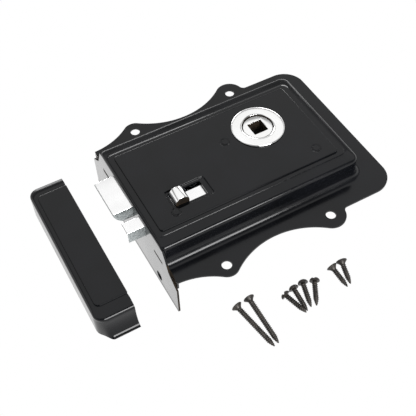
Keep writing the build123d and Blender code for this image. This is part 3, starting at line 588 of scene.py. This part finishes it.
second_finish(cover, painted_shade_steel, painted_shade_places)

# Three turned steel pillars hold the back plate. Their tenons come up through the face, are peened
# over to low discs and painted with the case.
finish_node("case_pillars", enamel)


# The rose is a turned brass ring, its inner edge rolled over, spun into the case round the follower
# and bright nickel plated. Polishing leaves it nearly a mirror, with faint waves from the buffing.
def turned(name, profile, steps):
    """Ring turned about the upright axis: a closed (radius, height) profile round a circle."""
    profile = np.asarray(profile, float)
    angle = np.linspace(0, 2 * math.pi, steps, endpoint=False)
    x, y = profile[:, :1] * np.cos(angle), profile[:, :1] * np.sin(angle)
    rows = np.stack([x, y, np.broadcast_to(profile[:, 1:], x.shape)], -1)
    rows = np.concatenate([rows, rows[:1]])
    faces = grid_faces(len(rows), steps, closed=True)
    return piece_from(name, rows.reshape(-1, 3), faces, sharp=40)


rose_top, rose_bore, roll_width, roll_drop = 16.8, 8.3, 1.7, 1.2
spun_low, spun_high, spun_out, neck = 13.8, 14.58, 10.5, 9.9
rose_profile = [
    (rose_bore, spun_low), (spun_out, spun_low), (spun_out, spun_high), (neck, spun_high),
    (neck, panel_z), (13.7, panel_z), (13.9, 15.85), (14.25, 15.9), (14.3, 16.15), (14.22, 16.35),
    (14.0, 16.52), (13.6, 16.65), (13.0, 16.74), (12.2, 16.79), (11.2, rose_top),
]
for turn in np.linspace(0, math.pi / 2, 12):
    roll = rose_bore + roll_width * (1 - math.sin(turn))
    rose_profile.append((roll, rose_top - roll_drop * (1 - math.cos(turn))))
rose = turned("rose_ring", rose_profile, 144)
nickel = surface(
    "bright_nickel_plate", ("#f7f7f6", "#ffffff"), (0.12, 0.18), 14.0, 2.5, 0.001, Metallic=1.0,
)
dress(rose, nickel, "case", "bright_nickel", "rose")
# Painted shade: the rose's bore wall, up to the foot of its rolled edge, is near-black
bore_wall, roll_low = rose_bore + 0.3, rose_top - 0.55
second_finish(rose, painted_shade_steel, lambda x, y, z, normal: (np.hypot(x, y) < bore_wall) & (z < roll_low))

# The follower is a zinc casting, nickel plated: a journal that turns in the back plate, two
# opposite horns that push the latch, and a hub with a square hole for the spindle.
journal, hub, hub_top, socket_half = 6.5, 8.0, 15.8, 4.125
horn_half, horn_reach, horn_low, horn_high, chamfer = 2.5, 16.0, 5.3, 9.5, 0.3

# In plan a horn's radius at an angle is that of its straight flank, then of its half-round tip, and
# never less than the hub's. The angles lie closer at the horns.
horn_angles = np.radians(np.concatenate([np.arange(66, 115, 0.75), np.arange(246, 295, 0.75)]))
angles = np.concatenate([np.radians(np.arange(0, 360, 3)), horn_angles])
angles = np.unique(np.round(angles, 6))
beside, ahead = np.abs(np.cos(angles)), np.abs(np.sin(angles))
flank = horn_half / np.maximum(beside, 1e-9)
tip = horn_reach * ahead + np.sqrt(np.maximum(horn_half**2 - (horn_reach * beside) ** 2, 0))
horns = np.where((flank * ahead <= horn_reach) & (flank < horn_reach + horn_half), flank, tip)
horns = np.where(horn_reach * beside > horn_half, np.minimum(horns, flank), tip)
horns = np.maximum(hub, horns)
square = socket_half / np.maximum(ahead, beside)
rows = [
    np.stack([radius * np.cos(angles), radius * np.sin(angles), np.full_like(angles, z)], 1)
    for radius, z in (
        (square, 0.1), (journal - 0.2, 0.1), (journal, 0.3), (journal, horn_low),
        (horns - chamfer, horn_low), (horns, horn_low + chamfer), (horns, horn_high - chamfer),
        (horns - chamfer, horn_high), (hub, horn_high), (hub, hub_top - 0.35),
        (hub - 0.1, hub_top - 0.1), (hub - 0.35, hub_top), (square + 0.2, hub_top),
        (square, hub_top - 0.2), (square, 0.1),
    )
]
follower_faces = grid_faces(len(rows), len(angles), closed=True)
follower = piece_from("follower_casting", np.concatenate(rows), follower_faces, sharp=30)
dress(follower, nickel, "follower", "bright_nickel", "follower")


def in_socket(x, y, z, normal):
    """Painted shade: the walls of the square hole, and the hub's flank below the rose."""
    flank = (np.hypot(x, y) < hub + 0.1) & (z > horn_high) & (z < hub_top - 0.2)
    wall = (np.maximum(np.abs(x), np.abs(y)) < socket_half + 0.05) & (z < hub_top - 0.15)
    return wall | flank


second_finish(follower, painted_shade_steel, in_socket)


# The latch bolt is a zinc casting with a sloped, slightly crowned nose, its rear stepped to take
# the tail. Satin nickel over a shot-blasted skin leaves the sides speckled; their darker grey under
# the bright top is painted shade. The shot's dents, about 0.1 mm across, are drawn at 0.5 mm so that
# they show.
def rounded(corners, radii, steps=5):
    """Outline with each corner turned on its own radius: an arc between its points of tangency."""
    corners = np.asarray(corners, float)
    backs, aheads = np.roll(corners, 1, 0), np.roll(corners, -1, 0)
    arcs = []
    for here, back, ahead, radius in zip(corners, backs, aheads, radii):
        to_back = (back - here) / np.linalg.norm(back - here)
        to_ahead = (ahead - here) / np.linalg.norm(ahead - here)
        half_angle = math.acos(np.clip(to_back @ to_ahead, -1, 1)) / 2
        bisector = (to_back + to_ahead) / max(np.linalg.norm(to_back + to_ahead), 1e-9)
        centre = here + bisector * radius / math.sin(half_angle)
        first = here + to_back * radius / math.tan(half_angle) - centre
        last = here + to_ahead * radius / math.tan(half_angle) - centre
        share = np.linspace(0, 1, steps)[:, None]
        chord = first * (1 - share) + last * share
        arcs.append(centre + radius * chord / np.linalg.norm(chord, axis=1, keepdims=True))
    return np.concatenate(arcs)


def prism(name, outline, low, high, edge):
    """Bar along Y with the given (x, z) outline, its two ends rounded over by an edge radius.

    Near each end the outline moves in along its normals by edge * (1 - sin t) while Y moves by
    edge * (1 - cos t), for t from 0 to a quarter turn.
    """
    run = np.roll(outline, -1, 0) - outline
    run /= np.maximum(np.linalg.norm(run, axis=1, keepdims=True), 1e-9)
    run = run + np.roll(run, 1, 0)
    normal = np.stack([run[:, 1], -run[:, 0]], 1)
    normal /= np.maximum(np.linalg.norm(run, axis=1, keepdims=True), 1e-9)
    x, z = outline.T
    normal *= np.sign(np.sum(x * np.roll(z, -1) - np.roll(x, -1) * z))
    turn = np.linspace(0, math.pi / 2, 5)
    inset, moved = edge * (1 - np.sin(turn)), edge * (1 - np.cos(turn))
    insets = np.concatenate([inset, inset[::-1]])[:, None, None]
    places = np.concatenate([low + moved, high - moved[::-1]])
    plan = outline - insets * normal
    depth = np.broadcast_to(places[:, None], plan.shape[:2])
    points = np.stack([plan[..., 0], depth, plan[..., 1]], -1).reshape(-1, 3)
    count = len(outline)
    caps = [list(range(count)), list(range(len(points) - count, len(points)))]
    return piece_from(name, points, grid_faces(len(places), count, closed=True), caps, sharp=30)


forend, latch_throw = -80.0, 11.0
latch_low, latch_high, latch_half = 2.9, 11.15, 11.55
nose, rear, step = forend - latch_throw, forend + 13.0, forend + 6.0
foot, step_top, bow = forend - 6.2, 4.72, -0.8
slope = np.linspace(0, 1, 14)[:, None]
bulge = np.array([bow, bow]) * 4 * slope * (1 - slope)
bevel = np.array([foot, latch_low]) * (1 - slope) + np.array([nose, latch_high]) * slope + bulge
back_corners = [(rear, latch_high), (rear, step_top), (step, step_top), (step, latch_low)]
back_line = rounded([bevel[-1], *back_corners, bevel[0]], [0.35, 0.3, 0.1, 0.1, 0.3, 0.3])
latch_line = np.concatenate([bevel[1:-1], back_line])
latch = prism("latch_bolt", latch_line, -latch_half, latch_half, 0.45)
satin = surface(
    "satin_nickel_plate", ("#f8f8f8", "#ffffff"), (0.17, 0.21), 6.0, 1.2, 0.0009, Metallic=1.0,
)
blasted_shaded_nickel = surface(
    "blasted_nickel_painted_shade", ("#7f8586", "#c3c8c8"), (0.42, 0.6), 0.75, 0.5, 0.02, Metallic=1.0,
)
dress(latch, satin, "latch", "satin_nickel", "latch_head")
# The sides and underside take the darker grey as painted shade; the top stays bright
second_finish(latch, blasted_shaded_nickel, lambda x, y, z, normal: normal[:, 2] < 0.5)

# The privacy bolt is a small square bar of the same casting, thrown by the button. A steel strip
# under the face carries the button, riveted to the bolt.
bolt_near, bolt_far, bolt_low = -25.5, -18.6, 3.0
bolt_nose, bolt_rear = forend - 9.6, forend + 14.0
bolt_corners = [(bolt_nose, bolt_low), (bolt_nose, latch_high)]
bolt_corners += [(bolt_rear, latch_high), (bolt_rear, bolt_low)]
bolt = prism("privacy_bolt_bar", rounded(bolt_corners, [0.5] * 4), bolt_near, bolt_far, 0.5)
dress(bolt, satin, "snib", "satin_nickel", "privacy_bolt")
# The bolt's sides and underside, but not its nose, take the same painted shade
second_finish(bolt, blasted_shaded_nickel, lambda x, y, z, normal: (normal[:, 2] < 0.5) & (normal[:, 0] > -0.5))
finish_node("snib_slide", satin)

# The button is cut from half-round bar, bright nickel plated, and riveted to the strip from below.
# Its two flat ends are painted near-black as shade.
button_x, button_half, button_low, shoulder = forend + 21.6, 3.9, 13.1, 15.6
button_near, button_far = -25.1, -17.3
turn = np.linspace(0, math.pi, 40)
crown = np.stack([button_x + button_half * np.cos(turn), shoulder + button_half * np.sin(turn)], 1)
feet = [(button_x - button_half, button_low), (button_x + button_half, button_low)]
button = prism("snib_button_cap", np.concatenate([crown, feet]), button_near, button_far, 0.35)
dress(button, nickel, "snib", "bright_nickel", "snib_button")
second_finish(button, painted_shade_steel, lambda x, y, z, normal: np.abs(normal[:, 1]) > 0.85)

# Inside, the tail, guides, rivets, stud and back plate are stamped or turned steel, zinc plated and
# bright with a faint blue-grey cloudiness.
zinc = surface(
    "bright_zinc_plated_steel", ("#b9bcc0", "#cfd2d4"), (0.3, 0.42), 6.0, 0.8, 0.004, Metallic=1.0,
)
for name in (
    "back_plate", "back_plate_screws", "latch_tail", "tail_rivets", "guide_rod", "latch_guide",
    "guide_rivets", "snib_rivets", "button_rivet", "snib_guide", "detent_post",
):
    finish_node(name, zinc)

# The return spring is coiled from music wire on the guide rod, and the detent is a strip of spring
# steel. Both keep the dark blue-grey of oil-tempered steel.
tempered = surface(
    "oil_tempered_spring_steel", ("#4b4f55", "#62666c"), (0.28, 0.4), 4.0, 0.6, 0.002, Metallic=1.0,
)
wire, wire_sides, coil, turns, turn_steps, rod_height = 0.3, 12, 2.6, 8, 28, 8.2
guide_face = forend + 37.0
spring_start, spring_end = rear + 0.1 + wire, guide_face - 0.1 - wire
share = np.linspace(0, 1, turns * turn_steps + 1)[:, None]
around = np.linspace(0, 2 * math.pi, wire_sides, endpoint=False)
wound = 2 * math.pi * turns * share
offset = coil + wire * np.cos(around)
spring_points = np.stack([
    spring_start + (spring_end - spring_start) * share + wire * np.sin(around),
    offset * np.cos(wound),
    rod_height + offset * np.sin(wound),
], -1).reshape(-1, 3)
ends = [list(range(wire_sides)), list(range(len(spring_points) - wire_sides, len(spring_points)))]
spring_faces = grid_faces(len(share), wire_sides, closed=True)
spring = piece_from("return_spring_coil", spring_points, spring_faces, ends)
dress(spring, tempered, "case", "spring_steel", "latch_spring")
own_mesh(spring)
finish_node("detent_spring", tempered)

# The keep is a shallow box pressed from the same sheet to the same steps, open toward the lock. Its
# end walls turn out in feet, and it is enamelled with the case. The screw holes of its closed side
# are in the solids alone, because that side is hardly seen.
keep_mouth, keep_y, keep_length, keep_half = forend - 24.2, -21.75, 18.6, 43.55
keep_fold = tier(0, keep_length, keep_half, 0, 5.6)
keep_ledge = tier(0, keep_length - 1.4, keep_half - 5.2, 0, 3.8)
keep_panel = tier(0, keep_length - 3.0, keep_half - 7.5, 0, 2.4)
keep_inmost = tier(0, keep_length - 7.0, keep_half - 11.5, 0, 0)
keep_along, keep_across = shares([0.35, 0.6, 0.8], 14), shares([0.5], 72)
keep_band = [(0.05, 14.68), (0.15, 14.62), (0.3, 14.5), (0.5, 14.3)]
levels, heights = pressed_top(keep_inmost, keep_panel, keep_ledge, keep_fold, keep_band)
for level in levels:
    level[0] = 0
flare_top, flare_full, flare_fade = 10.4, 13.0, 4.0
levels += [keep_fold, keep_fold]
heights += [11.2, flare_top]
inside_levels, inside_heights = inner_levels(levels, heights)
inside_levels[:, 0] = 0
keep_out = skin(levels, np.array(heights), keep_along, keep_across)
keep_in = skin(inside_levels, inside_heights, keep_along, keep_across)
keep_u = slice(arc_steps - 1, keep_out.shape[1] - len(keep_across) - arc_steps + 1)
keep_out, keep_in = keep_out[:, keep_u], keep_in[:, keep_u]

# Feet: the end walls flare out in a quarter ellipse, which fades out round the corners of the
# closed side
weight = 1 - np.clip((keep_out[-1, :, 0] - flare_full) / flare_fade, 0, 1)
weight = weight * weight * (3 - 2 * weight)
side = np.sign(keep_out[-1, :, 1])
flare_out, flare_in = [], []
for turn in np.linspace(0, math.pi / 2, 14)[1:]:
    straight = flare_top * (1 - turn / (math.pi / 2))
    out = foot_radius * (1 - math.cos(turn)) * weight * side
    skins = (flare_out, flare_top - sheet, keep_out[-1]), (flare_in, flare_top, keep_in[-1])
    for rows, drop, start in skins:
        swing = (flare_top - drop * math.sin(turn) - straight) * weight
        rows.append(np.stack([start[:, 0], start[:, 1] + out, straight + swing], 1))
keep_out, keep_in = np.concatenate([keep_out, flare_out]), np.concatenate([keep_in, flare_in])
lid_x, lid_y = flat_grid(keep_inmost, keep_along, keep_across)
lid_out = np.stack([lid_x, lid_y, np.full_like(lid_x, panel_z)], -1)
lid_in = lid_out - np.array([0, 0, sheet])
skins = (keep_out, keep_in), (lid_out, lid_in)
keep_patches = [(out, into, grid_faces(*out.shape[:2])) for out, into in skins]
keep_points, keep_faces = closed_sheet(keep_patches)
keep_points = keep_points * [-1, 1, 1] + [keep_mouth, keep_y, 0]
keep = piece_from("keep_pressing", keep_points, keep_faces, sharp=38)
dress(keep, enamel, "case", "black_paint", "keep")


# Eight wood screws lie loose in front of the lock: two long and two short countersunk, and four
# round headed. They are rolled from steel wire, fully threaded and blacked with oil, which leaves
# a soft brownish black with a dull gleam on the crests. A head's size is its radius and height.
round_size, sunk_size, screw_sides = (2.5, 1.9), (2.75, 1.7), 24


def screw(length, round_head):
    """One wood screw standing on its point: its points, its side faces and the fans at its ends.

    The radius at a height and an angle is the core's plus a sharp crest, which runs where height /
    pitch - angle / turn is a half more than a whole number. The core narrows with the height above
    the point, to the power 0.6, and the crest fades at both ends. Only a round head is slotted,
    because the others' slots hardly show.
    """
    pitch, crest, core, point = 0.95, 1.42, 1.05, 3.6
    slot_depth, slot_half, slot_edge = 1.0, 0.35, 0.35
    head, head_height = round_size if round_head else sunk_size
    under = length - head_height
    angle = np.linspace(0, 2 * math.pi, screw_sides, endpoint=False)
    z = np.linspace(0, under, int(under / pitch * 9))
    taper = np.clip((z + 0.25) / point, 0, 1)[:, None] ** 0.6
    phase = (z[:, None] / pitch - angle / (2 * math.pi)) % 1
    tooth = np.clip(1 - np.abs(phase - 0.5) / 0.3, 0, 1)
    fade = np.clip((under - z[:, None]) / 0.8, 0, 1) * np.clip(z[:, None] / 0.6, 0, 1)
    shank = core * taper + (crest - core) * np.maximum(taper, 0.35) * tooth * fade
    if round_head:
        turn = np.linspace(0, math.pi / 2, 11)[:-1, None]
        dome = [head * np.cos(turn) ** 0.8, under + 0.1 + (head_height - 0.1) * np.sin(turn)]
        flat = [(core, under), (1.2, under), (head - 0.1, under)]
        rings = np.concatenate([flat, np.hstack(dome)])
    else:
        share = np.linspace(0, 1, 7)[:, None]
        cone = [core + 0.1 + (head - core - 0.1) * share**1.5]
        cone.append(under - 0.6 + (head_height + 0.3) * share)
        flat = [(head - 0.1, length), *((head * part, length) for part in (0.8, 0.6, 0.4, 0.2))]
        rings = np.concatenate([np.hstack(cone), [(head, length - 0.1)], flat])
        z, shank = z[z < under - 0.65], shank[z < under - 0.65]
    radius = np.concatenate([shank, np.repeat(rings[:, :1], screw_sides, 1)])
    height = np.concatenate([z, rings[:, 1]])[:, None] + np.zeros(screw_sides)
    if round_head:
        off_slot = np.abs(radius * np.cos(angle))
        groove = length - slot_depth + np.clip((off_slot - slot_half) / slot_edge, 0, 1)
        cut = (height > under + 0.3) & (off_slot < slot_half + slot_edge)
        height = np.where(cut, np.minimum(height, groove), height)
    rows = np.stack([radius * np.cos(angle), radius * np.sin(angle), height], -1)
    ends = np.array([[0, 0, -0.1], [0, 0, length - slot_depth if round_head else length]])
    points = np.concatenate([rows.reshape(-1, 3), ends])
    here = np.arange(screw_sides)
    beside = (here + 1) % screw_sides
    last = (len(rows) - 1) * screw_sides
    tip = np.stack([here, beside, np.full(screw_sides, len(points) - 2)], 1)
    crown = np.stack([last + here, last + beside, np.full(screw_sides, len(points) - 1)], 1)
    return points, grid_faces(len(rows), screw_sides, closed=True), np.concatenate([tip, crown])


# Each lies on its head's rim and on its shank near the point. A set is its length, head, first
# place, spacing, and for each screw how far back its point lies and its heading in degrees.
blacking = surface(
    "oil_blacked_steel", ("#1f1d1b", "#35312d"), (0.32, 0.48), 2.0, 0.4, 0.004, Metallic=0.5,
)
screw_row, screw_rim, screw_shank, screw_point = -87.9, 2.75, 1.35, 4.0
screw_rolls = (60, -10, -10, 75)
case_places = [(0.7, -70.1), (2.0, -90.8), (2.4, -104.2), (0.5, -118.4)]
screw_sets = {
    "keep_screws": (26.0, False, -61.3, 7.1, [(5.7, -79.2), (6.6, -89.6)]),
    "case_screws": (14.0, True, -39.0, 5.8, case_places),
    "lip_screws": (12.4, False, -10.7, 5.9, [(1.9, -85.6), (2.2, -103.1)]),
}
for node, (length, round_head, start, spacing, places) in screw_sets.items():
    points, faces, fans = screw(length, round_head)
    rim = length - round_size[1] if round_head else length
    tilt = math.atan((screw_rim - screw_shank) / (rim - screw_point))
    lift = screw_shank * math.cos(tilt) - screw_point * math.sin(tilt)
    reach = length * math.cos(tilt)
    laid = []
    for i, ((back, heading), roll) in enumerate(zip(places, screw_rolls)):
        turn = math.radians(heading)
        lean = Matrix.Rotation(turn + math.pi, 3, "Z") @ Matrix.Rotation(math.pi / 2 - tilt, 3, "Y")
        lean = lean @ Matrix.Rotation(math.radians(roll), 3, "Z")
        along, aside = reach * math.cos(turn), reach * math.sin(turn)
        at = [start + i * spacing + along, back + screw_row + aside, lift]
        first = i * len(points)
        laid.append((points @ np.array(lean).T + at, faces + first, fans + first))
    points, faces, fans = (np.concatenate(every) for every in zip(*laid))
    piece = piece_from(node + "_threaded", points, faces, fans.tolist(), sharp=45)
    dress(piece, blacking, "case", "black_screws", node)

# Studio: matt white paper under the parts, at the lip's lower edge. The camera and reflections see
# it as plain white.
scene = bpy.context.scene
half, paper_z = 3, -0.0245
floor_corners = [(-half, -half, 0), (half, -half, 0), (half, half, 0), (-half, half, 0)]
floor_mesh = bpy.data.meshes.new("floor")
floor_mesh.from_pydata(floor_corners, [], [(0, 1, 2, 3)])
floor = bpy.data.objects.new("floor", floor_mesh)
floor.location = (0, 0, paper_z)
scene.collection.objects.link(floor)
paper = bpy.data.materials.new("white_studio_paper")
paper.use_nodes = True
matt = paper.node_tree.nodes["Principled BSDF"]
matt.inputs["Base Color"].default_value = linear("#f4f4f4")
matt.inputs["Roughness"].default_value = 0.9
ray = add(paper, "ShaderNodeLightPath")
white = add(paper, "ShaderNodeEmission", {"Color": (1, 1, 1, 1), "Strength": 1.0})
either = {"operation": "MAXIMUM"}
rays = {0: (ray, "Is Glossy Ray"), 1: (ray, "Is Transmission Ray")}
glossy = add(paper, "ShaderNodeMath", either, rays)
seen = add(paper, "ShaderNodeMath", either, {0: (ray, "Is Camera Ray"), 1: (glossy, "Value")})
looks = {0: (seen, "Value"), 1: (matt, "BSDF"), 2: (white, "Emission")}
mixed = add(paper, "ShaderNodeMixShader", {}, looks)
output = paper.node_tree.nodes["Material Output"]
paper.node_tree.links.new(mixed.outputs[0], output.inputs["Surface"])
floor.data.materials.append(paper)

# The room is white low down and overhead, and greyer between, so that the folds show a dark side.
# A stop is the sine of the height above the horizon, and the grey there, on the camera's side of
# the lock and then beyond it.
world = bpy.data.worlds.new("studio")
scene.world = world
world.use_nodes = True
where = add(world, "ShaderNodeTexCoord")
direction = add(world, "ShaderNodeSeparateXYZ", {}, {"Vector": (where, "Generated")})
near_stops = [(0.28, 1.0), (0.36, 0.2), (0.955, 0.2), (0.985, 1.0)]
far_stops = [(0.32, 1.0), (0.42, 0.3), (0.54, 0.3), (0.64, 1.0)]
walls = []
for stops in (near_stops, far_stops):
    wall = add(world, "ShaderNodeValToRGB", {}, {"Fac": (direction, "Z")})
    for stop, grey in stops:
        wall.color_ramp.elements.new(stop).color = (grey, grey, grey, 1)
    wall.color_ramp.elements.remove(wall.color_ramp.elements[0])
    wall.color_ramp.elements.remove(wall.color_ramp.elements[-1])
    walls.append(wall)
turning = {"From Min": -0.25, "From Max": 0.0}
back = add(world, "ShaderNodeMapRange", turning, {"Value": (direction, "Y")})
mix = {"Factor": (back, "Result"), 6: (walls[0], "Color"), 7: (walls[1], "Color")}
room = add(world, "ShaderNodeMix", {"data_type": "RGBA"}, mix)
background = world.node_tree.nodes["Background"]
world.node_tree.links.new(room.outputs[2], background.inputs["Color"])
background.inputs["Strength"].default_value = 1.0


def soft_box(name, at, towards, size, radiance):
    """Area lamp of two sides in metres, aimed at a point. Its power is radiance * pi * area."""
    lamp = bpy.data.lights.new(name, "AREA")
    lamp.shape = "RECTANGLE"
    lamp.size, lamp.size_y = size
    lamp.energy = radiance * math.pi * size[0] * size[1]
    box = bpy.data.objects.new(name, lamp)
    aim = (Vector(towards) - Vector(at)).to_track_quat("-Z", "Y").to_matrix().to_4x4()
    box.matrix_world = Matrix.Translation(at) @ aim
    box.visible_camera = False
    scene.collection.objects.link(box)


# Three strips draw the bright lines along the folds, and a card on the paper lights the forend
soft_box("front_strip", (0.0, -0.54, 0.33), (0, 0, 0), (0.42, 0.24), 16.0)
soft_box("back_strip", (0.06, 0.9, 0.22), (0, 0, 0), (0.45, 0.14), 6.0)
soft_box("side_strip", (0.62, 0.65, 0.22), (0, 0, 0), (0.32, 0.14), 6.0)
soft_box("forend_card", (-0.0885, 0.01, -0.0242), (-0.0885, 0.01, 1), (0.016, 0.15), 0.7)

# The camera stands where the photograph's did, found from the case's right angles and holes
camera = bpy.data.objects.new("camera", bpy.data.cameras.new("camera"))
scene.collection.objects.link(camera)
scene.camera = camera
forward = Vector((0.28356, 0.54265, -0.79065)).normalized()
upward = Vector((0.39555, 0.68490, 0.61193))
sideways = forward.cross(upward).normalized()
aim = Matrix((sideways, sideways.cross(forward), -forward)).transposed().to_4x4()
camera.matrix_world = Matrix.Translation((-0.15293, -0.23239, 0.30417)) @ aim
camera.data.sensor_width = 36.0
camera.data.lens = 64.62
scene.view_settings.view_transform = "Standard"
